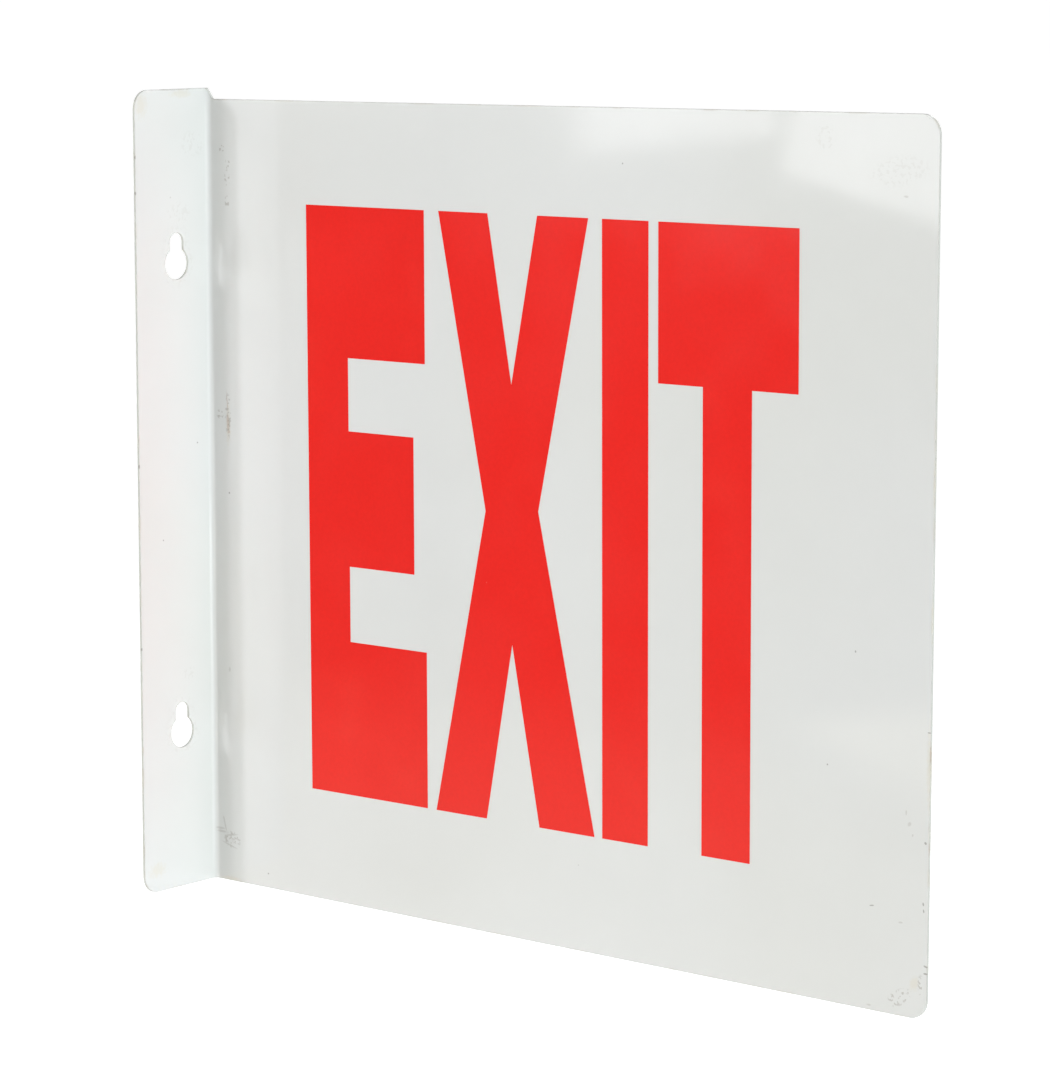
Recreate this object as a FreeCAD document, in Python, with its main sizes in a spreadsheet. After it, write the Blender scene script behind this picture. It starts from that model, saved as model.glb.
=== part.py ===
import FreeCAD, Part
import enum
import math
import os
import re

import Sketcher

# Projecting exit sign: one folded sheet with a lettered panel and a narrow wall flange.
# The wall is the plane X = 0. The panel stands out along +X and its lettered face looks to -Y.
# The flange lies on the wall and points to -Y. Z is up. Lengths are in millimetres, angles in degrees.
# The origin is on the wall side of the flange, midway between the two places where the screws sit.

# Driving sizes
SIZES = {
    # Sheet
    "sheet_thickness": 1.0,
    "bend_radius": 2.0,
    "corner_radius": 6.4,
    # Panel and flange, measured over the outside of the fold
    "projection": 304.8,
    "flange_width": 36.8,
    "flange_height": 280.7,
    # The panel's top edge lies lower than the flange's, by one drop at the fold and another at its outer end
    "fold_drop": 3.8,
    "outer_drop": 1.2,
    "step_run": 2.2,
    # Keyholes
    "screw_spacing": 165.1,
    "lower_screw_height": 62.9,
    "screw_inset": 19.7,
    "slot_radius": 3.2,
    "entry_radius": 5.55,
    "entry_drop": 7.4,
    # Print
    "print_thickness": 0.1,
    "print_tilt": 0.28,
    "print_shift": -1.6,
    "print_rise": 0.1,
    "letter_height": 203.2,
    "gap_after_e": 6.4,
    "gap_after_x": 5.7,
    "gap_after_i": 4.0,
    # Letter E
    "e_width": 53.1,
    "e_stem": 18.5,
    "e_middle_length": 47.8,
    "e_top_arm": 51.5,
    "e_middle_arm": 46.7,
    "e_bottom_arm": 53.7,
    "e_lower_gap": 26.2,
    # Letter X
    "x_width": 63.6,
    "x_foot_spread": 2.4,
    "x_top_stroke": 21.2,
    "x_left_foot_stroke": 22.2,
    "x_right_foot_stroke": 23.3,
    "x_waist_width": 22.5,
    "x_waist_left_height": 104.4,
    "x_waist_right_height": 106.0,
    "x_crossing_shift": -0.6,
    "x_top_notch": 56.2,
    "x_foot_notch": 60.6,
    # Letters I and T
    "i_width": 18.8,
    "t_width": 54.9,
    "t_stem": 19.2,
    "t_bar": 51.6,
}

# Sizes worked out from the driving sizes
DERIVED_SIZES = {
    "panel_front": "flange_width - sheet_thickness - screw_inset",
    "panel_back": "panel_front + sheet_thickness",
    "free_edge": "-screw_inset",
    "bottom_edge": "-(lower_screw_height + screw_spacing / 2)",
    "top_edge": "bottom_edge + flange_height",
    "lower_screw": "-screw_spacing / 2",
    "outer_bend_radius": "bend_radius + sheet_thickness",
    "x_left": "e_width + gap_after_e",
    "x_crossing": "x_left + x_width / 2 + x_crossing_shift",
    "i_left": "x_left + x_width + gap_after_x",
    "t_left": "i_left + i_width + gap_after_i",
    "t_middle": "t_left + t_width / 2",
    "print_width": "t_left + t_width",
    "print_left": "(projection + sheet_thickness - print_width) / 2 + print_shift",
    "print_bottom": "bottom_edge + (flange_height - letter_height) / 2 + print_rise",
}

LETTERS = {
    "letter_e": [
        ("0", "0"),
        ("e_width", "0"),
        ("e_width", "e_bottom_arm"),
        ("e_stem", "e_bottom_arm"),
        ("e_stem", "e_bottom_arm + e_lower_gap"),
        ("e_middle_length", "e_bottom_arm + e_lower_gap"),
        ("e_middle_length", "e_bottom_arm + e_lower_gap + e_middle_arm"),
        ("e_stem", "e_bottom_arm + e_lower_gap + e_middle_arm"),
        ("e_stem", "letter_height - e_top_arm"),
        ("e_width", "letter_height - e_top_arm"),
        ("e_width", "letter_height"),
        ("0", "letter_height"),
    ],
    "letter_x": [
        ("x_left - x_foot_spread", "0"),
        ("x_left - x_foot_spread + x_left_foot_stroke", "0"),
        ("x_crossing", "x_foot_notch"),
        ("x_left + x_width + x_foot_spread - x_right_foot_stroke", "0"),
        ("x_left + x_width + x_foot_spread", "0"),
        ("x_crossing + x_waist_width / 2", "x_waist_right_height"),
        ("x_left + x_width", "letter_height"),
        ("x_left + x_width - x_top_stroke", "letter_height"),
        ("x_crossing", "letter_height - x_top_notch"),
        ("x_left + x_top_stroke", "letter_height"),
        ("x_left", "letter_height"),
        ("x_crossing - x_waist_width / 2", "x_waist_left_height"),
    ],
    "letter_i": [
        ("i_left", "0"),
        ("i_left + i_width", "0"),
        ("i_left + i_width", "letter_height"),
        ("i_left", "letter_height"),
    ],
    "letter_t": [
        ("t_middle - t_stem / 2", "0"),
        ("t_middle + t_stem / 2", "0"),
        ("t_middle + t_stem / 2", "letter_height - t_bar"),
        ("t_left + t_width", "letter_height - t_bar"),
        ("t_left + t_width", "letter_height"),
        ("t_left", "letter_height"),
        ("t_left", "letter_height - t_bar"),
        ("t_middle - t_stem / 2", "letter_height - t_bar"),
    ],
}

# Two places closer than this are the same place
SAME = 1e-4


class Point(enum.IntEnum):
    # The points of a line or an arc in a sketch
    START = 1
    END = 2
    MIDDLE = 3


class Axis(enum.IntEnum):
    # The two axes that every sketch has, which both start in its origin
    ACROSS = -1
    UP = -2


X_AXIS = FreeCAD.Vector(1, 0, 0)
Y_AXIS = FreeCAD.Vector(0, 1, 0)
Z_AXIS = FreeCAD.Vector(0, 0, 1)

doc = FreeCAD.newDocument("projecting_exit_sign")


def write_sizes():
    sheet = doc.addObject("Spreadsheet::Sheet", "Sizes")
    cells = {alias: str(value) for alias, value in SIZES.items()}
    cells.update({alias: "=" + formula for alias, formula in DERIVED_SIZES.items()})
    for row, (alias, content) in enumerate(cells.items(), start=1):
        sheet.set(f"A{row}", alias)
        sheet.set(f"B{row}", content)
        sheet.setAlias(f"B{row}", alias)
    doc.recompute()


def value_of(formula):
    return float(doc.Sizes.evalExpression(formula))


def from_sizes(formula):
    # The same formula as another object of the document has to write it
    return re.sub(r"[a-z]\w+", r"Sizes.\g<0>", formula)


def bind(thing, name, formula):
    thing.setExpression(name, from_sizes(formula))


def new_body(name):
    body = doc.addObject("PartDesign::Body", name)
    body.Label = name
    return body


def new_sketch(body, plane, name):
    sketch = body.newObject("Sketcher::SketchObject", name)
    support = next(feature for feature in body.Origin.OriginFeatures if feature.Role == plane)
    sketch.AttachmentSupport = (support, [""])
    sketch.MapMode = "FlatFace"
    return sketch


def constrain(sketch, kind, *references, formula=None):
    if formula is None:
        sketch.addConstraint(Sketcher.Constraint(kind, *references))
        return
    index = sketch.addConstraint(Sketcher.Constraint(kind, *references, value_of(formula)))
    bind(sketch, f"Constraints[{index}]", formula)


def hold_point(sketch, geometry, end, across, up):
    # Hold one point of a sketch by its two distances from the sketch's own origin
    constrain(sketch, "DistanceX", Axis.ACROSS, Point.START, geometry, end, formula=across)
    constrain(sketch, "DistanceY", Axis.ACROSS, Point.START, geometry, end, formula=up)


def draw_polygon(sketch, corners):
    points = [FreeCAD.Vector(value_of(across), value_of(up), 0) for across, up in corners]
    following = points[1:] + points[:1]
    for start, end in zip(points, following):
        sketch.addGeometry(Part.LineSegment(start, end), False)
    for index in range(len(corners)):
        before = (index - 1) % len(corners)
        constrain(sketch, "Coincident", before, Point.END, index, Point.START)
    for index, (across, up) in enumerate(corners):
        hold_point(sketch, index, Point.START, across, up)


def draw_keyhole(sketch):
    # An entry circle with a narrower slot above it. The screw sits at the centre of the slot's round end.
    entry_height = "lower_screw - entry_drop"
    centre = FreeCAD.Vector(0, value_of(entry_height), 0)
    seat = FreeCAD.Vector(0, value_of("lower_screw"), 0)
    entry_radius = value_of("entry_radius")
    slot_radius = value_of("slot_radius")
    half_mouth = math.asin(slot_radius / entry_radius)
    mouth_height = centre.y + math.sqrt(entry_radius**2 - slot_radius**2)
    top = math.pi / 2
    entry, seat_end, right, left = 0, 1, 2, 3
    full_turn = 2 * math.pi
    entry_circle = Part.Circle(centre, Z_AXIS, entry_radius)
    seat_circle = Part.Circle(seat, Z_AXIS, slot_radius)
    sketch.addGeometry(Part.ArcOfCircle(entry_circle, top + half_mouth, top - half_mouth + full_turn), False)
    sketch.addGeometry(Part.ArcOfCircle(seat_circle, 0, math.pi), False)
    right_foot = FreeCAD.Vector(slot_radius, mouth_height, 0)
    right_head = FreeCAD.Vector(slot_radius, seat.y, 0)
    left_foot = FreeCAD.Vector(-slot_radius, mouth_height, 0)
    left_head = FreeCAD.Vector(-slot_radius, seat.y, 0)
    sketch.addGeometry(Part.LineSegment(right_foot, right_head), False)
    sketch.addGeometry(Part.LineSegment(left_head, left_foot), False)
    constrain(sketch, "Coincident", entry, Point.END, right, Point.START)
    constrain(sketch, "Coincident", right, Point.END, seat_end, Point.START)
    constrain(sketch, "Coincident", seat_end, Point.END, left, Point.START)
    constrain(sketch, "Coincident", left, Point.END, entry, Point.START)
    constrain(sketch, "Vertical", right)
    constrain(sketch, "Vertical", left)
    constrain(sketch, "Horizontal", seat_end, Point.START, seat_end, Point.MIDDLE)
    constrain(sketch, "Horizontal", seat_end, Point.END, seat_end, Point.MIDDLE)
    constrain(sketch, "PointOnObject", entry, Point.MIDDLE, Axis.UP)
    constrain(sketch, "PointOnObject", seat_end, Point.MIDDLE, Axis.UP)
    constrain(sketch, "DistanceY", Axis.ACROSS, Point.START, entry, Point.MIDDLE, formula=entry_height)
    constrain(sketch, "DistanceY", Axis.ACROSS, Point.START, seat_end, Point.MIDDLE, formula="lower_screw")
    constrain(sketch, "Radius", entry, formula="entry_radius")
    constrain(sketch, "Radius", seat_end, formula="slot_radius")


def extrude(body, kind, name, sketch):
    feature = body.newObject(f"PartDesign::{kind}", name)
    feature.Profile = sketch
    return feature


def edges_at(shape, direction, places):
    # Names of the straight edges along a direction that pass within reach of any of the places
    names = []
    for index, edge in enumerate(shape.Edges, start=1):
        straight = edge.Curve.TypeId == "Part::GeomLine"
        if not straight or abs(edge.Curve.Direction.dot(direction)) < 1 - SAME:
            continue
        offsets = [edge.CenterOfMass - place for place in places]
        beside = [(offset - direction * offset.dot(direction)).Length < SAME for offset in offsets]
        if any(beside):
            names.append(f"Edge{index}")
    return names


def round_edges(body, name, direction, places, radius):
    doc.recompute()
    base = body.Tip
    fillet = body.newObject("PartDesign::Fillet", name)
    fillet.Base = (base, edges_at(base.Shape, direction, places))
    bind(fillet, "Radius", radius)
    doc.recompute()


def place(across, deep, up):
    return FreeCAD.Vector(value_of(across), value_of(deep), value_of(up))


def make_folded_sheet():
    body = new_body("folded_sheet")

    # The fold's section from above, with sharp corners, raised to the height of the flange
    section = new_sketch(body, "XY_Plane", "section")
    draw_polygon(
        section,
        [
            ("0", "free_edge"),
            ("sheet_thickness", "free_edge"),
            ("sheet_thickness", "panel_front"),
            ("projection", "panel_front"),
            ("projection", "panel_back"),
            ("0", "panel_back"),
        ],
    )
    bind(section, "AttachmentOffset.Base.z", "bottom_edge")
    pad = extrude(body, "Pad", "sheet_pad", section)
    bind(pad, "Length", "flange_height")

    # The fold's inner and outer radius, so that the sheet keeps its thickness round the bend
    inner_bend = place("sheet_thickness", "panel_front", "0")
    outer_bend = place("0", "panel_back", "0")
    round_edges(body, "inner_bend", Z_AXIS, [inner_bend], "bend_radius")
    round_edges(body, "outer_bend", Z_AXIS, [outer_bend], "outer_bend_radius")

    # What is cut off above the panel: the slanted step across the fold and the slightly sloping top edge
    waste = new_sketch(body, "XZ_Plane", "top_waste")
    draw_polygon(
        waste,
        [
            ("sheet_thickness", "top_edge"),
            ("sheet_thickness + step_run", "top_edge - fold_drop"),
            ("projection", "top_edge - outer_drop"),
            ("projection + sheet_thickness", "top_edge - outer_drop"),
            ("projection + sheet_thickness", "top_edge + sheet_thickness"),
            ("sheet_thickness", "top_edge + sheet_thickness"),
        ],
    )
    top_cut = extrude(body, "Pocket", "top_cut", waste)
    top_cut.SideType = "Symmetric"
    bind(top_cut, "Length", "2 * flange_width")

    # The four free corners
    panel_top = "top_edge - outer_drop"
    panel_corners = [place("projection", "0", "bottom_edge"), place("projection", "0", panel_top)]
    flange_corners = [place("0", "free_edge", "bottom_edge"), place("0", "free_edge", "top_edge")]
    round_edges(body, "panel_corners", Y_AXIS, panel_corners, "corner_radius")
    round_edges(body, "flange_corners", X_AXIS, flange_corners, "corner_radius")

    # Two keyholes, one above the other
    keyhole = new_sketch(body, "YZ_Plane", "keyhole")
    draw_keyhole(keyhole)
    lower_keyhole = extrude(body, "Pocket", "lower_keyhole", keyhole)
    lower_keyhole.Reversed = True
    bind(lower_keyhole, "Length", "2 * sheet_thickness")
    doc.recompute()
    keyholes = body.newObject("PartDesign::LinearPattern", "keyholes")
    keyholes.Originals = [lower_keyhole]
    keyholes.Direction = (keyhole, ["V_Axis"])
    bind(keyholes, "Length", "screw_spacing")
    keyholes.Occurrences = 2
    body.Tip = keyholes
    doc.recompute()
    return body


def make_letter(name, corners):
    # A skin of print on the panel's face, drawn in the frame of the whole word and tilted with it
    body = new_body(name)
    outline = new_sketch(body, "XZ_Plane", f"{name}_outline")
    draw_polygon(outline, corners)
    skin = extrude(body, "Pad", f"{name}_skin", outline)
    bind(skin, "Length", "print_thickness")
    body.Placement = FreeCAD.Placement(FreeCAD.Vector(), FreeCAD.Rotation(-Y_AXIS, value_of("print_tilt")))
    bind(body, "Placement.Rotation.Angle", "print_tilt")
    bind(body, "Placement.Base.x", "print_left")
    bind(body, "Placement.Base.y", "panel_front")
    bind(body, "Placement.Base.z", "print_bottom")
    doc.recompute()
    return body


def check_volume(label, found, expected):
    if abs(found - expected) > SAME * expected:
        raise RuntimeError(f"{label}: volume {found:.3f}, expected {expected:.3f}")


def check_keyholes(sheet):
    # Each keyhole is a circle, a slot and half a circle, less what the slot shares with the entry circle
    entry_radius = value_of("entry_radius")
    slot_radius = value_of("slot_radius")
    half_mouth = math.asin(slot_radius / entry_radius)
    mouth = math.sqrt(entry_radius**2 - slot_radius**2)
    entry = entry_radius**2 * (math.pi - half_mouth) + slot_radius * mouth
    slot = 2 * slot_radius * (value_of("entry_drop") - mouth)
    seat = math.pi * slot_radius**2 / 2
    lower_keyhole = doc.getObject("lower_keyhole")
    before = lower_keyhole.BaseFeature.Shape.Volume
    cut = value_of("sheet_thickness") * (entry + slot + seat)
    check_volume("keyholes", before - sheet.Shape.Volume, cut * doc.getObject("keyholes").Occurrences)


def check_document(parts):
    for thing in doc.Objects:
        if "Invalid" in thing.State or "Error" in thing.State:
            raise RuntimeError(f"{thing.Label} is {thing.State}")
    for part in parts:
        if part.Shape.isNull() or not part.Shape.isValid() or len(part.Shape.Solids) != 1:
            raise RuntimeError(f"{part.Label} is not one valid solid")


write_sizes()
folded_sheet = make_folded_sheet()
letters = [make_letter(name, corners) for name, corners in LETTERS.items()]
doc.recompute()
parts = [folded_sheet, *letters]
check_document(parts)
check_keyholes(folded_sheet)

os.makedirs("parts", exist_ok=True)
for part in parts:
    part.Shape.exportStep(f"parts/{part.Label}.step")
    box = part.Shape.BoundBox
    print(f"{part.Label}: volume {part.Shape.Volume:.1f}, Z {box.ZMin:.2f} to {box.ZMax:.2f}")
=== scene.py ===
import math

import bpy
from mathutils import Matrix, Vector


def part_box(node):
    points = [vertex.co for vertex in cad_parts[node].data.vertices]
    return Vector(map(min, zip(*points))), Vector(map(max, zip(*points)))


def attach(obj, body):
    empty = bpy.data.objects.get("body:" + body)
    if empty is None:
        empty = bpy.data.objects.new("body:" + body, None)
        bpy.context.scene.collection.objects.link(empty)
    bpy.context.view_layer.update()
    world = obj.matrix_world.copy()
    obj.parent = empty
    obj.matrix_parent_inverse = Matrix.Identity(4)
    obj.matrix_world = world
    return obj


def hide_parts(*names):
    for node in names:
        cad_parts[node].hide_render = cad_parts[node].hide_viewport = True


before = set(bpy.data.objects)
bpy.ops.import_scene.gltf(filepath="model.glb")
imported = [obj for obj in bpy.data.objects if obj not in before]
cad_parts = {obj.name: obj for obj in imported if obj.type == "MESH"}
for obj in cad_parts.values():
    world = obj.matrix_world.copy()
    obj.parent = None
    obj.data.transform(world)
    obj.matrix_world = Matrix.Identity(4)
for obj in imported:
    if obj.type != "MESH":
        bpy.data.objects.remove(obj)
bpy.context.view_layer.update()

# Everything is in metres. The wall is the plane X = 0, the panel stands out along +X and its lettered
# face looks to -Y, the flange points to -Y, and Z is up.
MM = 0.001
UP = Vector((0, 0, 1))
SIDEWAYS = Vector((1, 0, 0))
OUTWARD = Vector((0, -1, 0))

# The camera, as the picture was taken: left of it the wall flange, right of it the panel
CAMERA_PLACE = Vector((966.25, -984.02, 182.08)) * MM
CAMERA_AZIMUTH = math.radians(39.4293)
CAMERA_ELEVATION = math.radians(8.5037)
CAMERA_ROLL = math.radians(0.0286)
CAMERA_LENS = 131.129
CAMERA_SENSOR = 36.0

# The folded sheet
sheet_low, sheet_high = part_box("folded_sheet")
THICKNESS = 1.0 * MM
BEND_RADIUS = 2.0 * MM
BEND_STEPS = 10
CORNER_RADIUS = 6.4 * MM
CORNER_STEPS = 14
EDGE_RADIUS = 0.18 * MM
CUT_MARGIN = 1.5 * MM
SMOOTH_ANGLE = math.radians(40)
SAME_POINT = 0.01 * MM
PANEL_FACE = sheet_high.y - THICKNESS
FLANGE_FACE = sheet_low.x + THICKNESS
FREE_EDGE = sheet_low.y
OUTER_EDGE = sheet_high.x
BOTTOM = sheet_low.z
TOP = sheet_high.z
BEND_X = FLANGE_FACE + BEND_RADIUS
BEND_Y = PANEL_FACE - BEND_RADIUS

# The panel's top edge: a slanted step down beside the flange, then a slight rise to the outer edge
STEP_FOOT = Vector((3.2 * MM, 0, TOP - 3.8 * MM))
STEP_HEAD = Vector((FLANGE_FACE, 0, TOP))
OUTER_TOP = Vector((OUTER_EDGE, 0, TOP - 1.2 * MM))

# The keyholes
SEAT_HEIGHT = 82.55 * MM
SLOT_RADIUS = 3.2 * MM
ENTRY_RADIUS = 5.55 * MM
ENTRY_DROP = 7.4 * MM
ENTRY_STEPS = 40
SEAT_STEPS = 18
CUTTER_REACH = 4 * MM

# Levels of light, where 1 is white
WORLD_LEVEL = 0.305
WHITE = 1.0
FLOOR_GLOW = 0.755
FLOOR_HEIGHT = -0.62
FLOOR_SIZE = 120
FLOOR_GREY = (0.85, 0.85, 0.85)

# The enamel and the print
ENAMEL_WHITE = (0.800, 0.806, 0.797, 1)
ENAMEL_AGED = (0.782, 0.786, 0.764, 1)
ENAMEL_ROUGHNESS = 0.05
GRIME = (0.43, 0.39, 0.33, 1)
WORN_EDGE = (0.50, 0.42, 0.31, 1)
THIN_EDGE = (0.52, 0.52, 0.48, 1)
YELLOW = (0.70, 0.60, 0.38, 1)
SCUFF_GREY = (0.30, 0.27, 0.23, 1)
STAIN_BROWN = (0.36, 0.20, 0.12, 1)
NICK_DARK = (0.12, 0.10, 0.08, 1)
PRINT_RED = (0.90, 0.0165, 0.0130, 1)
PRINT_THIN = (0.92, 0.0250, 0.0185, 1)
PINHOLE = (0.88, 0.35, 0.30, 1)
PRINT_ROUGHNESS = 0.14

# The unevenness of the painted sheet
WAVE_SCALE = 9.0
WAVE_HEIGHT = 0.16 * MM
PEEL_SCALE = 420.0
PEEL_HEIGHT = 0.0016 * MM

# How fine each pattern is
AGE_SCALE = 7.0
CLOUD_SCALE = 45.0
PATCH_SCALE = 110.0
HANDLING_SCALE = 22.0
MARK_GRAIN = 750.0
SPECK_SCALE = 90.0
INK_SCALE = 28.0
INK_GRAIN = 900.0
INK_HANDLING = 30.0
PINHOLE_SCALE = 110.0

# How strongly each kind of mark shows, and how dull the marked paint is
YELLOW_SHOWS = 0.20
SCUFF_SHOWS = 0.26
STAIN_SHOWS = 0.36
NICK_SHOWS = 0.55
TICK_SHOWS = 0.5
GRIME_SHOWS = 0.09
THIN_EDGE_SHOWS = 0.75
WORN_SHOWS = 0.22
SPECK_SHOWS = 0.25
PINHOLE_SHOWS = 0.5
MARK_DULLNESS = 0.6
SMUDGE_DULLNESS = 0.16
MARK_DEPTH = 0.7
FAR_OFF = 9.0

# The screen that only the gloss sees: its glow paints a dark reflection, with a bright ledge, a warm glow
# and a streak of light in it
SCREEN_LEFT = -1.6
SCREEN_RIGHT = -0.1
SCREEN_PLACE = -0.82
SCREEN_TOP = 0.4
SCREEN_DARK = 0.22
LEDGE_TOP = -0.270
LEDGE_EDGE = -0.286
LEDGE_LEVEL = 0.40
GLOW_FULL = -0.44
GLOW_LEVEL = 0.35
STREAK_TIP = Vector((-0.345, 0, -0.2605))
STREAK_END = Vector((-0.228, 0, -0.2625))
STREAK_HALF = 0.021
STREAK_SOFTNESS = 0.008
STREAK_LEVEL = 1.15
SCREEN_TINT = (1.0, 0.93, 0.72, 1)


def let_go_of_all():
    if bpy.context.object and bpy.context.object.mode != "OBJECT":
        bpy.ops.object.mode_set(mode="OBJECT")
    bpy.ops.object.select_all(action="DESELECT")


def take(piece):
    let_go_of_all()
    piece.select_set(True)
    bpy.context.view_layer.objects.active = piece


def open_mesh(select="DESELECT", mode="VERT"):
    bpy.ops.object.mode_set(mode="EDIT")
    bpy.ops.mesh.select_mode(type=mode)
    bpy.ops.mesh.select_all(action=select)


def close_mesh():
    bpy.ops.object.mode_set(mode="OBJECT")


def select_points(piece, wanted):
    # Select the points whose place passes the test, and the edges between them
    bpy.ops.mesh.select_mode(type="VERT")
    bpy.ops.mesh.select_all(action="DESELECT")
    bpy.ops.object.mode_set(mode="OBJECT")
    for point in piece.data.vertices:
        point.select = wanted(point.co)
    bpy.ops.object.mode_set(mode="EDIT")


def select_edges(piece, wanted):
    # Select the edges whose two ends both pass the test
    points = piece.data.vertices
    bpy.ops.mesh.select_mode(type="EDGE")
    bpy.ops.mesh.select_all(action="DESELECT")
    bpy.ops.object.mode_set(mode="OBJECT")
    for edge in piece.data.edges:
        edge.select = wanted(points[edge.vertices[0]].co, points[edge.vertices[1]].co)
    bpy.ops.object.mode_set(mode="EDIT")


def near(one, other, reach=0.02 * MM):
    return abs(one - other) < reach


def settle(piece):
    take(piece)
    bpy.ops.object.transform_apply(location=True, rotation=True, scale=True)


def carve(piece, cutter):
    take(piece)
    carving = piece.modifiers.new("carving", "BOOLEAN")
    carving.operation = "DIFFERENCE"
    carving.solver = "EXACT"
    carving.object = cutter
    bpy.ops.object.modifier_apply(modifier=carving.name)
    bpy.data.objects.remove(cutter)


def make_camera():
    let_go_of_all()
    bpy.ops.object.camera_add()
    camera = bpy.context.object
    camera.name = "camera"
    camera.data.lens = CAMERA_LENS
    camera.data.sensor_width = CAMERA_SENSOR
    camera.data.clip_start = 0.05
    camera.data.clip_end = 200
    turn = Matrix.Rotation(CAMERA_AZIMUTH, 4, "Z")
    tip = Matrix.Rotation(math.pi / 2 - CAMERA_ELEVATION, 4, "X")
    roll = Matrix.Rotation(CAMERA_ROLL, 4, "Z")
    camera.matrix_world = Matrix.Translation(CAMERA_PLACE) @ turn @ tip @ roll
    bpy.context.scene.camera = camera


def make_top_cutter():
    # A block cut back to the wedge that lies above the step and above the panel's top edge
    let_go_of_all()
    size = 1.2 * (OUTER_EDGE - FLANGE_FACE)
    middle = Vector((OUTER_EDGE / 2, PANEL_FACE, TOP))
    bpy.ops.mesh.primitive_cube_add(size=1, location=middle)
    cutter = bpy.context.object
    cutter.scale = (size, 30 * MM, 30 * MM)
    settle(cutter)
    for low, high in ((STEP_HEAD, STEP_FOOT), (STEP_FOOT, OUTER_TOP)):
        run = high - low
        upward = Vector((-run.z, 0, run.x)).normalized()
        open_mesh("SELECT")
        bpy.ops.mesh.bisect(plane_co=low, plane_no=upward, use_fill=True, clear_inner=True)
        close_mesh()
    return cutter


def make_keyhole_cutter():
    # One point is spun round the entry circle, drawn up to the seat, spun over it and closed to a face
    half_mouth = math.asin(SLOT_RADIUS / ENTRY_RADIUS)
    mouth_rise = math.sqrt(ENTRY_RADIUS**2 - SLOT_RADIUS**2)
    start = -CUTTER_REACH / 2
    seat = Vector((start, 0, SEAT_HEIGHT))
    entry = seat - ENTRY_DROP * UP
    let_go_of_all()
    bpy.ops.mesh.primitive_plane_add(size=1 * MM, location=(start, SLOT_RADIUS, entry.z + mouth_rise))
    cutter = bpy.context.object
    settle(cutter)
    open_mesh("SELECT")
    bpy.ops.mesh.merge(type="CENTER")
    bpy.ops.mesh.select_all(action="SELECT")
    turn = 2 * (math.pi - half_mouth)
    bpy.ops.mesh.spin(steps=ENTRY_STEPS, angle=turn, center=entry, axis=(1, 0, 0))
    select_points(cutter, lambda co: near(co.y, SLOT_RADIUS) and co.z > entry.z)
    bpy.ops.mesh.extrude_region_move(TRANSFORM_OT_translate={"value": (ENTRY_DROP - mouth_rise) * UP})
    bpy.ops.mesh.spin(steps=SEAT_STEPS, angle=-math.pi, center=seat, axis=(1, 0, 0))
    bpy.ops.mesh.select_all(action="SELECT")
    bpy.ops.mesh.remove_doubles(threshold=SAME_POINT)
    bpy.ops.mesh.edge_face_add()
    bpy.ops.mesh.extrude_region_move(TRANSFORM_OT_translate={"value": (CUTTER_REACH, 0, 0)})
    bpy.ops.mesh.select_all(action="SELECT")
    bpy.ops.mesh.normals_make_consistent(inside=False)
    close_mesh()
    return cutter


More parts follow.
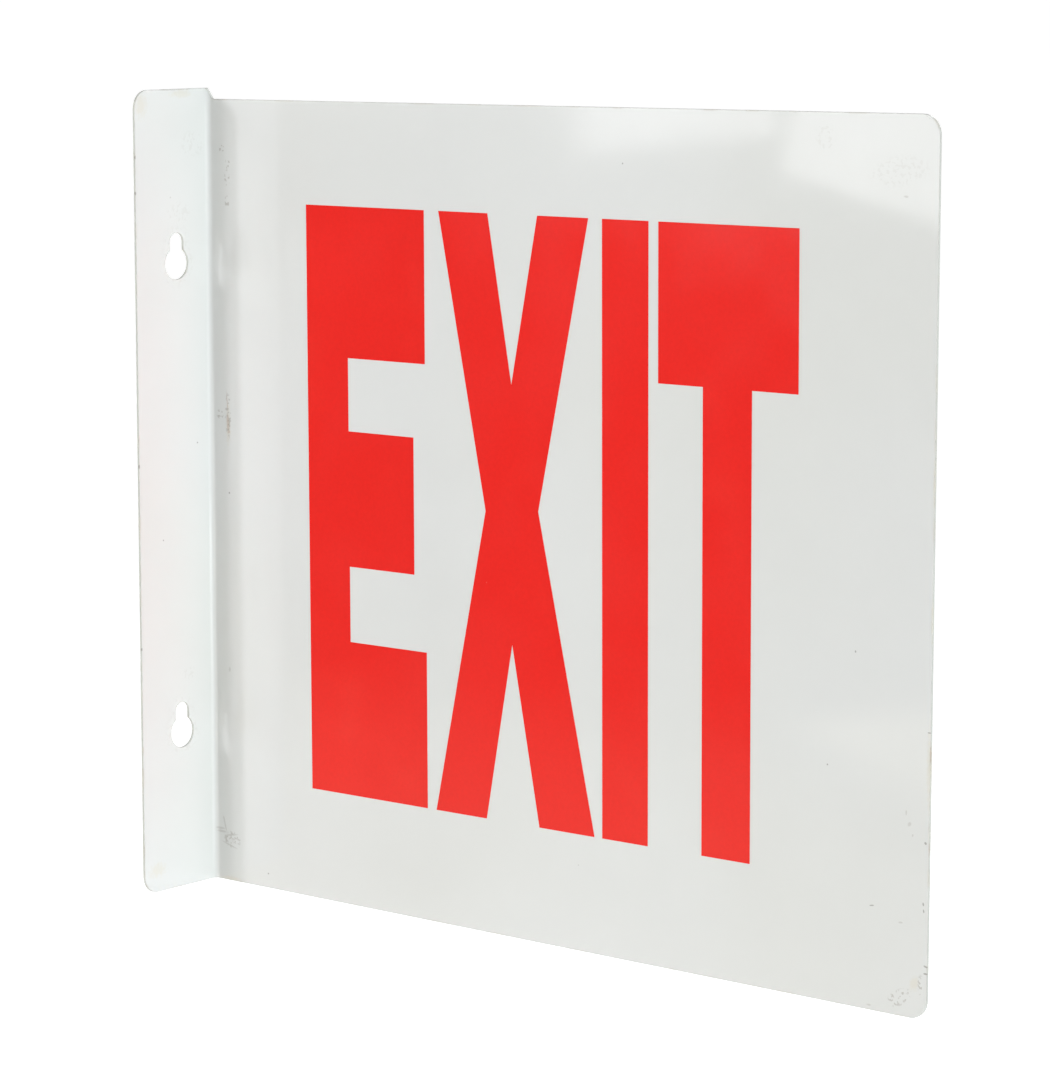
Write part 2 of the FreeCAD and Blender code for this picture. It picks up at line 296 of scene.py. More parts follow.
def make_folded_sheet():
    # The lettered face first, then its edge is drawn back to the bend, round it and out to the free edge
    length = OUTER_EDGE - STEP_FOOT.x
    height = TOP - BOTTOM
    middle = Vector((STEP_FOOT.x + length / 2, PANEL_FACE, BOTTOM + height / 2))
    let_go_of_all()
    bpy.ops.mesh.primitive_plane_add(size=1, location=middle, rotation=(math.pi / 2, 0, 0))
    sheet = bpy.context.object
    sheet.name = "folded_sheet_painted"
    sheet.scale = (length, height, 1)
    settle(sheet)
    open_mesh()
    select_points(sheet, lambda co: near(co.x, STEP_FOOT.x))
    back = BEND_X - STEP_FOOT.x
    bpy.ops.mesh.extrude_region_move(TRANSFORM_OT_translate={"value": (back, 0, 0)})
    bend_axis = Vector((BEND_X, BEND_Y, 0))
    bpy.ops.mesh.spin(steps=BEND_STEPS, angle=-math.pi / 2, center=bend_axis, axis=UP)
    out = FREE_EDGE - BEND_Y
    bpy.ops.mesh.extrude_region_move(TRANSFORM_OT_translate={"value": (0, out, 0)})
    bpy.ops.mesh.select_all(action="SELECT")
    bpy.ops.mesh.remove_doubles(threshold=SAME_POINT)
    close_mesh()

    wall = sheet.modifiers.new("wall", "SOLIDIFY")
    wall.thickness = THICKNESS
    wall.offset = -1
    wall.use_even_offset = True
    bpy.ops.object.modifier_apply(modifier=wall.name)

    carve(sheet, make_top_cutter())

    # The four free corners
    take(sheet)
    open_mesh(mode="EDGE")

    def at_free_corner(one, other):
        across_panel = near(one.x, OUTER_EDGE) and near(other.x, OUTER_EDGE) and near(one.z, other.z)
        across_flange = near(one.y, FREE_EDGE) and near(other.y, FREE_EDGE) and near(one.z, other.z)
        return across_panel or across_flange

    select_edges(sheet, at_free_corner)
    bpy.ops.mesh.bevel(offset=CORNER_RADIUS, segments=CORNER_STEPS, affect="EDGES")
    close_mesh()

    # Two keyholes, the lower one a copy of the upper one
    upper = make_keyhole_cutter()
    lower = upper.copy()
    lower.data = upper.data.copy()
    bpy.context.collection.objects.link(lower)
    lower.location.z = -2 * SEAT_HEIGHT
    settle(lower)
    carve(sheet, upper)
    carve(sheet, lower)

    # Straight cuts beside the corners and the keyholes leave long plain faces between them
    take(sheet)
    inset = CORNER_RADIUS + CUT_MARGIN
    cuts = [
        (Vector((OUTER_EDGE - inset, 0, 0)), SIDEWAYS),
        (Vector((0, FREE_EDGE + inset, 0)), OUTWARD),
        (Vector((0, 0, BOTTOM + inset)), UP),
        (Vector((0, 0, STEP_FOOT.z - inset)), UP),
    ]
    for seat in (SEAT_HEIGHT, -SEAT_HEIGHT):
        cuts.append((Vector((0, 0, seat + SLOT_RADIUS + CUT_MARGIN)), UP))
        cuts.append((Vector((0, 0, seat - ENTRY_DROP - ENTRY_RADIUS - CUT_MARGIN)), UP))
    for place, direction in cuts:
        open_mesh("SELECT")
        bpy.ops.mesh.bisect(plane_co=place, plane_no=direction, threshold=0.001 * MM)
        close_mesh()

    # The cut edges are worn slightly round
    open_mesh("SELECT")
    bpy.ops.mesh.remove_doubles(threshold=0.02 * MM)
    bpy.ops.mesh.normals_make_consistent(inside=False)
    close_mesh()
    rounding = sheet.modifiers.new("rounding", "BEVEL")
    rounding.width = EDGE_RADIUS
    rounding.segments = 3
    rounding.limit_method = "ANGLE"
    rounding.angle_limit = SMOOTH_ANGLE
    rounding.use_clamp_overlap = False
    bpy.ops.object.modifier_apply(modifier=rounding.name)
    bpy.ops.object.shade_smooth_by_angle(angle=SMOOTH_ANGLE)
    weighting = sheet.modifiers.new("weighting", "WEIGHTED_NORMAL")
    weighting.mode = "FACE_AREA"
    weighting.keep_sharp = True
    bpy.ops.object.modifier_apply(modifier=weighting.name)
    return sheet


def make_floor():
    let_go_of_all()
    bpy.ops.mesh.primitive_plane_add(size=FLOOR_SIZE, location=(0, 0, FLOOR_HEIGHT))
    floor = bpy.context.object
    floor.name = "floor"
    return floor


def make_reflection_screen():
    # A screen on the left that only reflections see, glowing as a painted reflection: dark, with a warm
    # glow low down and a streak
    let_go_of_all()
    width = SCREEN_RIGHT - SCREEN_LEFT
    height = SCREEN_TOP - FLOOR_HEIGHT
    middle = Vector((SCREEN_LEFT + width / 2, SCREEN_PLACE, FLOOR_HEIGHT + height / 2))
    bpy.ops.mesh.primitive_plane_add(size=1, location=middle, rotation=(math.pi / 2, 0, 0))
    screen = bpy.context.object
    screen.name = "dark_screen"
    screen.scale = (width, height, 1)
    settle(screen)
    screen.visible_camera = False
    screen.visible_diffuse = False
    screen.visible_transmission = False
    screen.visible_shadow = False
    return screen


def add_light(name, place, aim, width, height, level, roll=0, colour=(1, 1, 1)):
    # A soft panel of light of one level all over, where 1 would look white
    let_go_of_all()
    place = Vector(place)
    bpy.ops.object.light_add(type="AREA", location=place)
    light = bpy.context.object
    light.name = name
    light.data.shape = "RECTANGLE"
    light.data.size = width
    light.data.size_y = height
    light.data.color = colour
    light.data.energy = level * math.pi * width * height
    facing = (Vector(aim) - place).to_track_quat("-Z", "Y").to_matrix()
    light.rotation_euler = (facing @ Matrix.Rotation(math.radians(roll), 3, "Z")).to_euler()
    return light


def new_material(name):
    material = bpy.data.materials.new(name)
    material.use_nodes = True
    material.node_tree.nodes.clear()
    return material


def new_group(name, takes, gives):
    # A shader node group with named inputs and outputs, each a (label, socket type) pair
    group = bpy.data.node_groups.new(name, "ShaderNodeTree")
    for label, kind in takes:
        group.interface.new_socket(label, in_out="INPUT", socket_type=kind)
    for label, kind in gives:
        group.interface.new_socket(label, in_out="OUTPUT", socket_type=kind)
    inside = group.nodes.new("NodeGroupInput").outputs
    outside = group.nodes.new("NodeGroupOutput").inputs
    return group, inside, outside


def feed(tree, part, socket):
    # Link a node's output to the socket, or write a plain value in it
    if isinstance(part, bpy.types.NodeSocket):
        tree.links.new(part, socket)
    else:
        socket.default_value = part


def work_out(tree, operation, *parts):
    node = tree.nodes.new("ShaderNodeMath")
    node.operation = operation
    for part, socket in zip(parts, node.inputs):
        feed(tree, part, socket)
    return node.outputs["Value"]


def work_out_vector(tree, operation, *parts):
    node = tree.nodes.new("ShaderNodeVectorMath")
    node.operation = operation
    for part, socket in zip(parts, node.inputs):
        feed(tree, part, socket)
    return node.outputs["Value" if operation in ("LENGTH", "DOT_PRODUCT") else "Vector"]


def fade(tree, value, start, end, low=0.0, high=1.0):
    # Smoothly from low at the start to high at the end
    node = tree.nodes.new("ShaderNodeMapRange")
    node.interpolation_type = "SMOOTHSTEP"
    feed(tree, value, node.inputs["Value"])
    feed(tree, start, node.inputs["From Min"])
    feed(tree, end, node.inputs["From Max"])
    feed(tree, low, node.inputs["To Min"])
    feed(tree, high, node.inputs["To Max"])
    return node.outputs["Result"]


def cloudy(tree, where, scale, detail=2.0):
    node = tree.nodes.new("ShaderNodeTexNoise")
    feed(tree, where, node.inputs["Vector"])
    feed(tree, scale, node.inputs["Scale"])
    node.inputs["Detail"].default_value = detail
    return node.outputs["Fac"]


def tinted(tree, colour, tint, mask):
    # Lay a tint over the colour where the mask is 1
    node = tree.nodes.new("ShaderNodeMix")
    node.data_type = "RGBA"
    feed(tree, mask, node.inputs["Factor"])
    feed(tree, colour, node.inputs["A"])
    feed(tree, tint, node.inputs["B"])
    return node.outputs["Result"]


def dimmed(tree, colour, factor):
    # The colour times a factor near 1
    node = tree.nodes.new("ShaderNodeVectorMath")
    node.operation = "SCALE"
    feed(tree, colour, node.inputs[0])
    feed(tree, factor, node.inputs["Scale"])
    return node.outputs["Vector"]


def placed(tree, group, **values):
    # Put a group in the tree, with its inputs named in lower case
    node = tree.nodes.new("ShaderNodeGroup")
    node.node_tree = group
    for socket in node.inputs:
        key = socket.name.lower().replace(" ", "_")
        if key in values:
            feed(tree, values[key], socket)
    return node.outputs


def object_place(tree):
    return tree.nodes.new("ShaderNodeTexCoord").outputs["Object"]


def make_waviness():
    # The rolled sheet's slow waves and the fine orange peel of its enamel, as a height in metres
    takes = [("Place", "NodeSocketVector"), ("Waves", "NodeSocketFloat"), ("Peel", "NodeSocketFloat")]
    group, inside, outside = new_group("waviness", takes, [("Height", "NodeSocketFloat")])
    slow = cloudy(group, inside["Place"], WAVE_SCALE, 1.0)
    fine = cloudy(group, inside["Place"], PEEL_SCALE, 1.0)
    waves = work_out(group, "MULTIPLY", slow, inside["Waves"])
    both = work_out(group, "MULTIPLY_ADD", fine, inside["Peel"], waves)
    feed(group, both, outside["Height"])
    return group


def make_mottle():
    # A factor near 1 that changes slowly over the paint, with finer clouding in it
    takes = [("Place", "NodeSocketVector"), ("Scale", "NodeSocketFloat"), ("Depth", "NodeSocketFloat")]
    group, inside, outside = new_group("mottle", takes, [("Factor", "NodeSocketFloat")])
    clouds = cloudy(group, inside["Place"], inside["Scale"])
    middle = work_out(group, "SUBTRACT", clouds, 0.5)
    factor = work_out(group, "MULTIPLY_ADD", middle, inside["Depth"], 1.0)
    feed(group, factor, outside["Factor"])
    return group


def make_specks():
    # Tiny round specks strewn over the paint, a few in each hundred cells of the pattern
    takes = [
        ("Place", "NodeSocketVector"),
        ("Scale", "NodeSocketFloat"),
        ("Share", "NodeSocketFloat"),
        ("Size", "NodeSocketFloat"),
    ]
    group, inside, outside = new_group("specks", takes, [("Mask", "NodeSocketFloat")])
    cells = group.nodes.new("ShaderNodeTexVoronoi")
    feed(group, inside["Place"], cells.inputs["Vector"])
    feed(group, inside["Scale"], cells.inputs["Scale"])
    draw = group.nodes.new("ShaderNodeSeparateColor")
    feed(group, cells.outputs["Color"], draw.inputs["Color"])
    chosen = work_out(group, "LESS_THAN", draw.outputs["Red"], inside["Share"])
    reach = work_out(group, "MULTIPLY_ADD", draw.outputs["Green"], inside["Size"], inside["Size"])
    spot = work_out(group, "LESS_THAN", cells.outputs["Distance"], reach)
    depth = work_out(group, "MULTIPLY_ADD", draw.outputs["Blue"], 0.6, 0.4)
    shown = work_out(group, "MULTIPLY", chosen, spot)
    feed(group, work_out(group, "MULTIPLY", shown, depth), outside["Mask"])
    return group


def make_outline_nearness():
    # How far a point of the folded sheet lies from its cut outline, in metres
    takes = [("Place", "NodeSocketVector")]
    group, inside, outside = new_group("outline_nearness", takes, [("Distance", "NodeSocketFloat")])
    parts = group.nodes.new("ShaderNodeSeparateXYZ")
    feed(group, inside["Place"], parts.inputs["Vector"])
    from_outer = work_out(group, "SUBTRACT", OUTER_EDGE, parts.outputs["X"])
    from_free = work_out(group, "SUBTRACT", parts.outputs["Y"], FREE_EDGE)
    sideways = work_out(group, "MINIMUM", from_outer, from_free)
    step = group.nodes.new("ShaderNodeMapRange")
    feed(group, parts.outputs["X"], step.inputs["Value"])
    step.inputs["From Min"].default_value = STEP_HEAD.x
    step.inputs["From Max"].default_value = STEP_FOOT.x
    step.inputs["To Min"].default_value = STEP_HEAD.z
    step.inputs["To Max"].default_value = STEP_FOOT.z
    past_step = work_out(group, "SUBTRACT", parts.outputs["X"], STEP_FOOT.x)
    rise = (OUTER_TOP.z - STEP_FOOT.z) / (OUTER_TOP.x - STEP_FOOT.x)
    run = work_out(group, "MAXIMUM", past_step, 0.0)
    top = work_out(group, "MULTIPLY_ADD", run, rise, step.outputs["Result"])
    below_top = work_out(group, "SUBTRACT", top, parts.outputs["Z"])
    above_bottom = work_out(group, "SUBTRACT", parts.outputs["Z"], BOTTOM)
    upward = work_out(group, "MINIMUM", below_top, above_bottom)
    corner = group.nodes.new("ShaderNodeCombineXYZ")
    feed(group, work_out(group, "SUBTRACT", CORNER_RADIUS, sideways), corner.inputs["X"])
    feed(group, work_out(group, "SUBTRACT", CORNER_RADIUS, upward), corner.inputs["Y"])
    inner = work_out_vector(group, "MAXIMUM", corner.outputs["Vector"], (0, 0, 0))
    round_corner = work_out_vector(group, "LENGTH", inner)
    nearest = work_out(group, "MINIMUM", sideways, upward)
    straight = work_out(group, "MAXIMUM", work_out(group, "SUBTRACT", nearest, CORNER_RADIUS), 0.0)
    in_corner = work_out(group, "SUBTRACT", CORNER_RADIUS, round_corner)
    feed(group, work_out(group, "ADD", in_corner, straight), outside["Distance"])
    return group


def make_keyhole_nearness():
    # How far a point of the flange lies from the rim of the nearer keyhole, in metres
    takes = [("Place", "NodeSocketVector")]
    group, inside, outside = new_group("keyhole_nearness", takes, [("Distance", "NodeSocketFloat")])
    parts = group.nodes.new("ShaderNodeSeparateXYZ")
    feed(group, inside["Place"], parts.inputs["Vector"])
    half = work_out(group, "SIGN", parts.outputs["Z"])
    seat = work_out(group, "MULTIPLY", half, SEAT_HEIGHT)
    height = work_out(group, "SUBTRACT", parts.outputs["Z"], seat)
    distances = []
    along = group.nodes.new("ShaderNodeClamp")
    feed(group, height, along.inputs["Value"])
    along.inputs["Min"].default_value = -ENTRY_DROP
    along.inputs["Max"].default_value = 0
    for centre, radius in ((along.outputs["Result"], SLOT_RADIUS), (-ENTRY_DROP, ENTRY_RADIUS)):
        from_centre = group.nodes.new("ShaderNodeCombineXYZ")
        feed(group, parts.outputs["Y"], from_centre.inputs["X"])
        feed(group, work_out(group, "SUBTRACT", height, centre), from_centre.inputs["Y"])
        reach = work_out_vector(group, "LENGTH", from_centre.outputs["Vector"])
        distances.append(work_out(group, "SUBTRACT", reach, radius))
    feed(group, work_out(group, "MINIMUM", *distances), outside["Distance"])
    return group


def on_panel(x, z, across, up, turn=0):
    # A mark on the lettered face, in millimetres and degrees: its middle, half its width and height
    middle = Vector((x, PANEL_FACE / MM, z))
    return {"face": "panel", "turn": turn, "middle": middle, "reach": (across, up)}


def on_flange(y, z, across, up, turn=0):
    # A mark on the flange's face that looks along the panel
    middle = Vector((FLANGE_FACE / MM, y, z))
    return {"face": "flange", "turn": turn, "middle": middle, "reach": (across, up)}


def face_directions(face, turn):
    # Across, along and through the face, turned in its plane
    if face == "panel":
        sideways, through = SIDEWAYS, -OUTWARD
    else:
        sideways, through = -OUTWARD, SIDEWAYS
    turning = Matrix.Rotation(math.radians(turn), 3, through)
    return turning @ sideways, turning @ UP, through


def turned_places(tree, where, marks):
    # The place along each set of directions that the marks use
    places = {}
    for mark in marks:
        key = (mark["face"], mark["turn"])
        if key in places:
            continue
        turned = tree.nodes.new("ShaderNodeCombineXYZ")
        for axis, direction in zip("XYZ", face_directions(*key)):
            feed(tree, work_out_vector(tree, "DOT_PRODUCT", where, direction), turned.inputs[axis])
        places[key] = turned.outputs["Vector"]
    return places


def marks_mask(tree, places, grain, marks, strength, ragged=0.5, rim=1.15, full=0.7):
    # All marks of one kind in one mask, the grain being a clouding round 0 that frays their rims
    nearest = FAR_OFF
    for mark in marks:
        key = (mark["face"], mark["turn"])
        reach = Vector((*mark["reach"], MARK_DEPTH)) * MM
        middle = [direction.dot(mark["middle"] * MM) for direction in face_directions(*key)]
        shrink = [1 / part for part in reach]
        shift = [-part * scale for part, scale in zip(middle, shrink)]
        scaled = work_out_vector(tree, "MULTIPLY_ADD", places[key], shrink, shift)
        nearest = work_out(tree, "MINIMUM", work_out_vector(tree, "LENGTH", scaled), nearest)
    frayed = work_out(tree, "MULTIPLY_ADD", grain, ragged, nearest)
    return work_out(tree, "MULTIPLY", fade(tree, frayed, rim, full), strength)


# Marks that years of use have left, by kind: single nicks, stains and scuffs first
DARK_NICKS = [
    on_panel(304.3, -54.6, 0.7, 0.22),
    on_panel(304.2, -128.2, 0.8, 0.3, 15),
    on_panel(304.2, -130.5, 0.8, 0.3),
    on_panel(303.0, -108.6, 0.3, 0.6, -10),
    on_panel(303.2, -110.8, 0.25, 0.6, -10),
    on_panel(283.8, -111.9, 0.9, 0.22, -10),
    on_panel(276.5, -32.4, 0.3, 0.4),
    on_panel(266.4, -69.4, 0.3, 0.3),
    on_panel(303.5, -89.3, 0.5, 0.4, 30),
    on_panel(184.1, 115.2, 0.3, 0.3),
    on_panel(9.5, -6.0, 0.4, 0.4),
    on_panel(26.6, -140.3, 0.4, 0.3),
    on_flange(9.1, 11.8, 0.35, 0.3),
    on_flange(-8.4, -20.9, 0.3, 0.3),
    on_flange(-19.6, 112.5, 0.2, 0.7),
    on_flange(-19.6, 100.2, 0.2, 0.6),
    on_flange(-19.6, 6.0, 0.2, 0.8),
    on_flange(-19.6, -58.0, 0.2, 0.6),
]
BROWN_STAINS = [
    on_panel(9.2, 18.6, 0.6, 3.6, -4),
    on_panel(8.9, 26.0, 0.2, 4.0, -6),
    on_panel(304.8, -61.2, 0.2, 2.8),
    on_panel(304.8, -90.5, 0.2, 2.6),
]
GREY_SCUFFS = [
    on_panel(3.5, -127.0, 2.3, 0.42),
    on_panel(4.0, -128.1, 2.6, 0.42),
    on_panel(5.7, -125.4, 0.34, 3.4, -15),
    on_panel(8.6, -128.9, 3.3, 0.34, -10),
    on_panel(7.8, -132.6, 3.8, 0.32, 15),
    on_panel(296.2, -80.6, 0.3, 0.9),
    on_panel(297.5, -84.0, 0.6, 0.8, 30),
    on_panel(298.7, -87.5, 0.3, 0.5, 15),
    on_panel(294.7, -115.6, 0.8, 0.35),
    on_panel(283.1, -143.8, 1.0, 0.3),
    on_panel(292.9, 108.9, 0.9, 0.35),
    on_panel(8.8, -69.0, 0.5, 0.9),
    on_flange(0.0, 135.0, 8.0, 0.3),
    on_flange(-2.8, 98.1, 0.35, 0.3),
    # The next two darken a thin line down the right rim of each keyhole slot
    on_flange(3.25, 80.0, 0.15, 2.6),
    on_flange(3.25, -85.0, 0.15, 2.2),
]
YELLOWED = [
    on_panel(304.7, -66.0, 1.1, 12.0),
    on_panel(8.8, -144.9, 4.4, 0.9),
    on_panel(9.3, 18.0, 1.0, 7.0),
    on_panel(300.0, -134.4, 1.5, 2.4, 30),
    on_panel(304.8, 21.9, 0.5, 6.0),
    on_panel(304.8, -20.7, 0.5, 5.6),
    on_flange(3.0, 133.6, 5.0, 1.3),
    on_flange(-16.6, 130.0, 2.4, 4.0),
    on_flange(-13.5, -137.6, 3.8, 2.4),
]

# Patches where many small ticks and smears lie together
TICK_PATCHES = [
    on_panel(9.3, 21.4, 1.5, 8.8),
    on_panel(5.4, 21.6, 1.8, 1.8),
    on_panel(9.1, -130.6, 4.3, 3.3),
    on_panel(7.6, 114.3, 1.5, 1.7),
    on_panel(10.3, 109.5, 1.1, 3.4),
    on_panel(9.9, 104.2, 1.4, 3.2),
    on_panel(9.8, 96.0, 1.2, 2.4),
    on_panel(294.6, -139.6, 5.2, 2.6, -30),
    on_panel(302.4, -134.6, 1.4, 3.6),
]
SMUDGES = [
    on_panel(290.5, 116.5, 12.0, 5.0, -10),
    on_panel(263.0, 126.0, 4.0, 5.0),
    on_flange(8.0, 116.0, 6.5, 5.0),
    on_flange(4.0, -69.6, 4.0, 2.4),
    on_flange(1.0, 92.5, 6.0, 4.0),
]
ALL_MARKS = DARK_NICKS + BROWN_STAINS + GREY_SCUFFS + YELLOWED + TICK_PATCHES + SMUDGES


def finish_paint(tree, colour, roughness, height):
    # The end of each paint: the height as a bump, then the paint itself
    bump = tree.nodes.new("ShaderNodeBump")
    bump.inputs["Distance"].default_value = 1.0
    feed(tree, height, bump.inputs["Height"])
    paint = tree.nodes.new("ShaderNodeBsdfPrincipled")
    feed(tree, colour, paint.inputs["Base Color"])
    feed(tree, roughness, paint.inputs["Roughness"])
    feed(tree, bump.outputs["Normal"], paint.inputs["Normal"])
    out = tree.nodes.new("ShaderNodeOutputMaterial")
    feed(tree, paint.outputs["BSDF"], out.inputs["Surface"])


def make_white_enamel(waviness, mottle, specks):
    material = new_material("white_enamel")
    tree = material.node_tree
    where = object_place(tree)

    # Slow yellowing in clouds, then the dirt and wear along the cut outline and round the keyholes
    age = fade(tree, cloudy(tree, where, AGE_SCALE), 0.35, 0.75)
    colour = tinted(tree, ENAMEL_WHITE, ENAMEL_AGED, age)
    clouding = placed(tree, mottle, place=where, scale=CLOUD_SCALE, depth=0.03)["Factor"]
    colour = dimmed(tree, colour, clouding)

    edge = placed(tree, make_outline_nearness(), place=where)["Distance"]
    rim = placed(tree, make_keyhole_nearness(), place=where)["Distance"]
    patchy = fade(tree, cloudy(tree, where, PATCH_SCALE), 0.52, 0.66)
    near_edge = work_out(tree, "MULTIPLY", fade(tree, edge, 0.8 * MM, 0.1 * MM), patchy)
    near_rim = work_out(tree, "MULTIPLY", fade(tree, rim, 0.5 * MM, 0.0), patchy)
    worn = work_out(tree, "MAXIMUM", near_edge, near_rim)
    thin = fade(tree, work_out(tree, "MINIMUM", edge, rim), 0.22 * MM, 0.04 * MM)

    # The grain frays the rims of the marks, and the ticks are what a patch of small marks is made of
    grain = work_out(tree, "SUBTRACT", cloudy(tree, where, MARK_GRAIN), 0.5)
    ticks = fade(tree, grain, 0.03, 0.10)
    grimy = work_out(tree, "MULTIPLY", fade(tree, rim, 4.5 * MM, 0.3 * MM), ticks)
    places = turned_places(tree, where, ALL_MARKS)
    yellowed = marks_mask(tree, places, grain, YELLOWED, YELLOW_SHOWS, ragged=1.6, rim=1.5, full=0.3)
    smudged = marks_mask(tree, places, grain, SMUDGES, 1.0)
    smudged = work_out(tree, "MAXIMUM", grimy, work_out(tree, "MULTIPLY", smudged, ticks))
    ticked = marks_mask(tree, places, grain, TICK_PATCHES, TICK_SHOWS)
    scuffs = marks_mask(tree, places, grain, GREY_SCUFFS, SCUFF_SHOWS, ragged=1.2, rim=1.3, full=0.5)
    scuffs = work_out(tree, "MAXIMUM", scuffs, work_out(tree, "MULTIPLY", ticked, ticks))
    stains = marks_mask(tree, places, grain, BROWN_STAINS, STAIN_SHOWS, ragged=1.5)
    nicks = marks_mask(tree, places, grain, DARK_NICKS, NICK_SHOWS)
    strewn = placed(tree, specks, place=where, scale=SPECK_SCALE, share=0.03, size=0.016)["Mask"]
    for tint, mask in (
        (GRIME, work_out(tree, "MULTIPLY", smudged, GRIME_SHOWS)),
        (THIN_EDGE, work_out(tree, "MULTIPLY", thin, THIN_EDGE_SHOWS)),
        (WORN_EDGE, work_out(tree, "MULTIPLY", worn, WORN_SHOWS)),
        (YELLOW, yellowed),
        (SCUFF_GREY, scuffs),
        (STAIN_BROWN, stains),
        (NICK_DARK, nicks),
        (NICK_DARK, work_out(tree, "MULTIPLY", strewn, SPECK_SHOWS)),
    ):
        colour = tinted(tree, colour, tint, mask)

    # Dull where it is worn or marked, and smeared a little everywhere
    smears = cloudy(tree, where, HANDLING_SCALE)
    handled = fade(tree, smears, 0.35, 0.8, ENAMEL_ROUGHNESS, ENAMEL_ROUGHNESS + 0.04)
    dull = work_out(tree, "MAXIMUM", scuffs, work_out(tree, "MAXIMUM", stains, nicks))
    dull = work_out(tree, "MAXIMUM", dull, work_out(tree, "MULTIPLY", worn, 0.5))
    roughness = work_out(tree, "MULTIPLY_ADD", dull, MARK_DULLNESS, handled)
    roughness = work_out(tree, "MULTIPLY_ADD", smudged, SMUDGE_DULLNESS, roughness)

    height = placed(tree, waviness, place=where, waves=WAVE_HEIGHT, peel=PEEL_HEIGHT)["Height"]
    finish_paint(tree, colour, roughness, height)
    return material


def make_red_print(waviness, mottle, specks):
    material = new_material("red_print")
    tree = material.node_tree
    where = object_place(tree)

    # The ink lies a little thicker and thinner in clouds, with a few pinholes
    thickness = placed(tree, mottle, place=where, scale=INK_SCALE, depth=0.16)["Factor"]
    thin = fade(tree, thickness, 1.0, 0.94)
    colour = tinted(tree, PRINT_RED, PRINT_THIN, thin)
    grain = placed(tree, mottle, place=where, scale=INK_GRAIN, depth=0.10)["Factor"]
    colour = dimmed(tree, colour, grain)
    pinholes = placed(tree, specks, place=where, scale=PINHOLE_SCALE, share=0.06, size=0.014)["Mask"]
    colour = tinted(tree, colour, PINHOLE, work_out(tree, "MULTIPLY", pinholes, PINHOLE_SHOWS))

    handled = cloudy(tree, where, INK_HANDLING)
    roughness = fade(tree, handled, 0.3, 0.75, PRINT_ROUGHNESS - 0.02, PRINT_ROUGHNESS + 0.05)
    height = placed(tree, waviness, place=where, waves=WAVE_HEIGHT, peel=2 * PEEL_HEIGHT)["Height"]
    finish_paint(tree, colour, roughness, height)
    return material


def make_floor_paint(mottle):
    # Pale to the camera and in reflections, and it still takes the sign's shadow
    material = new_material("floor_paint")
    tree = material.node_tree
    where = object_place(tree)
    clouding = placed(tree, mottle, place=where, scale=3.0, depth=0.04)["Factor"]
    matt = tree.nodes.new("ShaderNodeBsdfDiffuse")
    feed(tree, dimmed(tree, FLOOR_GREY, clouding), matt.inputs["Color"])
    glow = tree.nodes.new("ShaderNodeEmission")
    glow.inputs["Strength"].default_value = FLOOR_GLOW
    both = tree.nodes.new("ShaderNodeAddShader")
    feed(tree, matt.outputs["BSDF"], both.inputs[0])
    feed(tree, glow.outputs["Emission"], both.inputs[1])
    seen = tree.nodes.new("ShaderNodeLightPath")
    mix = tree.nodes.new("ShaderNodeMixShader")
    shows = work_out(tree, "MAXIMUM", seen.outputs["Is Camera Ray"], seen.outputs["Is Glossy Ray"])
    shows = work_out(tree, "MAXIMUM", shows, seen.outputs["Is Transmission Ray"])
    feed(tree, shows, mix.inputs["Fac"])
    feed(tree, matt.outputs["BSDF"], mix.inputs[1])
    feed(tree, both.outputs["Shader"], mix.inputs[2])
    out = tree.nodes.new("ShaderNodeOutputMaterial")
    feed(tree, mix.outputs["Shader"], out.inputs["Surface"])
    return material


def make_painted_reflection_glow(mottle):
    # Painted reflection: a dark glow with a bright ledge low down, a warm glow below it and a pointed
    # streak of light above it
    material = new_material("screen_cloth")
    tree = material.node_tree
    where = object_place(tree)
    parts = tree.nodes.new("ShaderNodeSeparateXYZ")
    feed(tree, where, parts.inputs["Vector"])
    height = parts.outputs["Z"]
    ledge = fade(tree, height, LEDGE_TOP, LEDGE_EDGE, SCREEN_DARK, SCREEN_DARK + LEDGE_LEVEL)
    low = work_out(tree, "ADD", ledge, fade(tree, height, LEDGE_EDGE, GLOW_FULL, 0.0, GLOW_LEVEL))

    # The streak opens from its tip: how far along it a point lies, then how far from its middle line
    run = STREAK_END.x - STREAK_TIP.x
    past_tip = work_out(tree, "SUBTRACT", parts.outputs["X"], STREAK_TIP.x)
    slope = (STREAK_END.z - STREAK_TIP.z) / run
    middle_line = work_out(tree, "MULTIPLY_ADD", past_tip, slope, STREAK_TIP.z)
    aside = work_out(tree, "ABSOLUTE", work_out(tree, "SUBTRACT", height, middle_line))
    half = work_out(tree, "MAXIMUM", work_out(tree, "MULTIPLY", past_tip, STREAK_HALF / run), 0.0)
    rim = work_out(tree, "ADD", half, STREAK_SOFTNESS)
    streak = work_out(tree, "MULTIPLY", fade(tree, aside, rim, half), STREAK_LEVEL)
    streak = work_out(tree, "MULTIPLY", streak, fade(tree, past_tip, 0.0, 0.2 * run))

    level = work_out(tree, "ADD", low, streak)
    # The painted reflection's glow varies a little in clouds
    glow_mottle = placed(tree, mottle, place=where, scale=6.0, depth=0.10)["Factor"]
    glow = tree.nodes.new("ShaderNodeEmission")
    glow.inputs["Color"].default_value = SCREEN_TINT
    feed(tree, work_out(tree, "MULTIPLY", level, glow_mottle), glow.inputs["Strength"])
    out = tree.nodes.new("ShaderNodeOutputMaterial")
    feed(tree, glow.outputs["Emission"], out.inputs["Surface"])
    return material


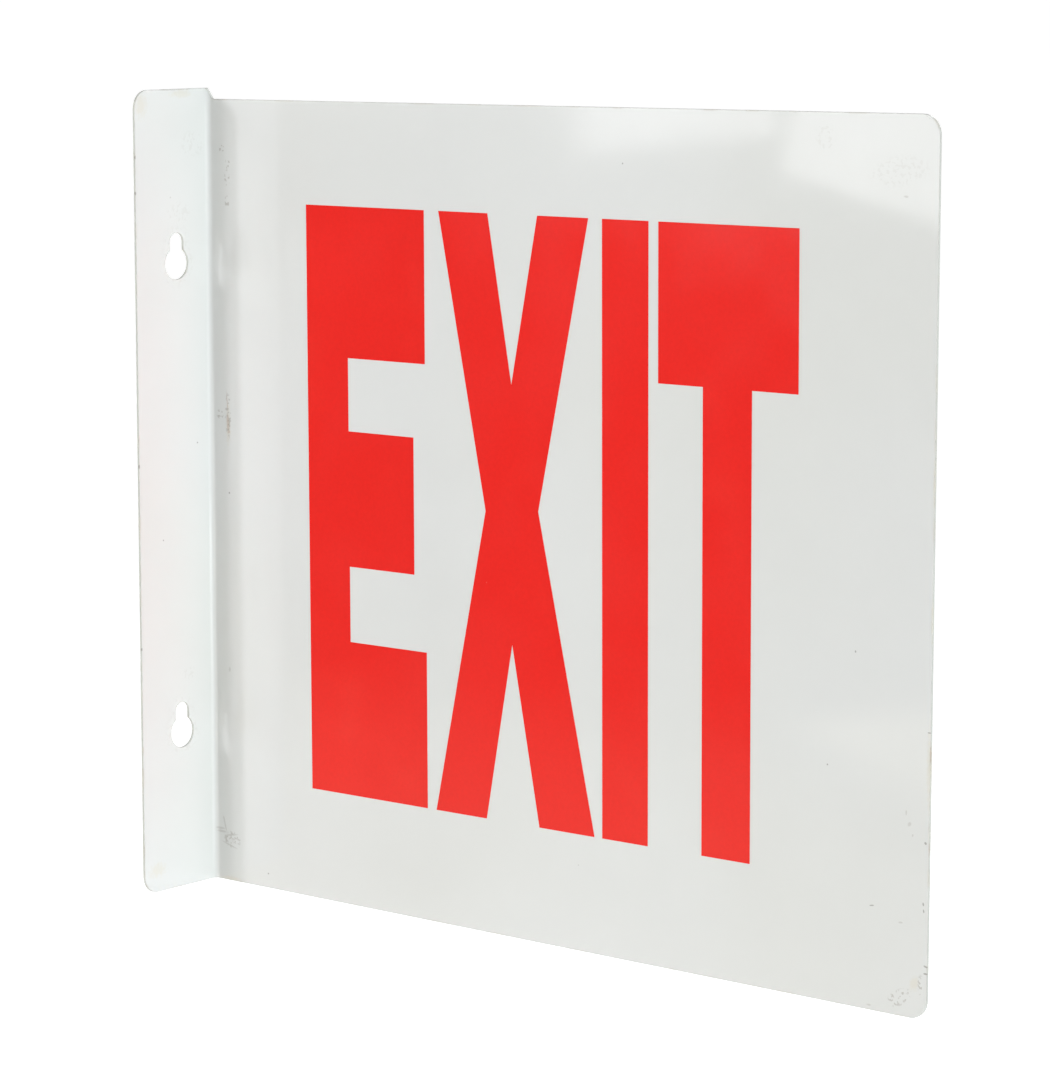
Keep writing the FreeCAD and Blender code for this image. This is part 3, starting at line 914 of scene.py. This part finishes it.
def make_world():
    world = bpy.data.worlds.new("studio")
    bpy.context.scene.world = world
    world.use_nodes = True
    nodes = world.node_tree.nodes
    links = world.node_tree.links
    nodes.clear()
    room = nodes.new("ShaderNodeBackground")
    room.inputs["Strength"].default_value = WORLD_LEVEL
    backdrop = nodes.new("ShaderNodeBackground")
    backdrop.inputs["Strength"].default_value = WHITE
    for shade in (room, backdrop):
        shade.inputs["Color"].default_value = (1, 1, 1, 1)
    seen = nodes.new("ShaderNodeLightPath")
    glossy = nodes.new("ShaderNodeMath")
    glossy.operation = "MAXIMUM"
    shows = nodes.new("ShaderNodeMath")
    shows.operation = "MAXIMUM"
    mix = nodes.new("ShaderNodeMixShader")
    out = nodes.new("ShaderNodeOutputWorld")
    links.new(seen.outputs["Is Camera Ray"], glossy.inputs[0])
    links.new(seen.outputs["Is Glossy Ray"], glossy.inputs[1])
    links.new(glossy.outputs["Value"], shows.inputs[0])
    links.new(seen.outputs["Is Transmission Ray"], shows.inputs[1])
    links.new(shows.outputs["Value"], mix.inputs["Fac"])
    links.new(room.outputs["Background"], mix.inputs[1])
    links.new(backdrop.outputs["Background"], mix.inputs[2])
    links.new(mix.outputs["Shader"], out.inputs["Surface"])


def dress(piece, material):
    piece.data.materials.clear()
    piece.data.materials.append(material)


bpy.context.scene.view_settings.view_transform = "Standard"
make_camera()

waviness = make_waviness()
mottle = make_mottle()
specks = make_specks()
white_enamel = make_white_enamel(waviness, mottle, specks)
red_print = make_red_print(waviness, mottle, specks)

sheet = make_folded_sheet()
dress(sheet, white_enamel)
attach(sheet, "root")
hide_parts("folded_sheet")

for letter in ("letter_e", "letter_x", "letter_i", "letter_t"):
    dress(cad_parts[letter], red_print)

floor = make_floor()
dress(floor, make_floor_paint(mottle))

screen = make_reflection_screen()
dress(screen, make_painted_reflection_glow(mottle))

make_world()
add_light("key_light", (-0.93, -2.38, 0.70), (0.05, 0.0, 0.0), 0.22, 0.20, 82.0, colour=(0.93, 0.96, 1.0))
add_light("tall_light", (-0.54, -2.38, 0.45), (0.05, 0.0, 0.0), 0.24, 1.9, 5.1, colour=(0.93, 0.96, 1.0))
add_light("left_light", (-1.5, -1.0, 0.7), (0.1, 0.0, 0.0), 1.0, 0.9, 1.5, colour=(0.90, 1.0, 0.98))
add_light("low_light", (-0.1, -1.6, -0.35), (0.15, 0.0, -0.08), 1.0, 0.4, 2.6, colour=(1.0, 0.87, 0.74))
add_light("back_light", (0.3, 1.9, 0.9), (0.15, 0.0, 0.0), 1.6, 1.2, 2.8)
add_light("left_softbox", (-0.42, -0.79, 0.174), (-0.42, 0.0, 0.174), 0.145, 0.2, 2.95, roll=6.0)
add_light("middle_softbox", (-0.23, -0.79, 0.140), (-0.23, 0.0, 0.140), 0.17, 0.2, 3.3, roll=-12.5)

# Two lights graze the sheet: one along the panel from beyond the flange, one along the flange's face. The
# side light stays out of the gloss, where it would draw a hard line along the bend. The bend light is seen
# in the gloss alone, where it draws a soft one.
add_light("grazing_light", (-1.7, -0.32, 0.1), (0.25, 0.0, 0.0), 0.55, 1.0, 10.0, colour=(0.95, 1.0, 0.97))
side_place = (4.4, -0.28, 0.4)
side_light = add_light("side_light", side_place, (0, 0, 0), 0.5, 1.8, 40.0, colour=(0.87, 0.95, 0.96))
side_light.visible_glossy = False
bend_light = add_light("bend_light", (2.0, -0.45, 0.1), (0.0, 0.0, 0.0), 1.0, 1.6, 2.0)
bend_light.visible_diffuse = False
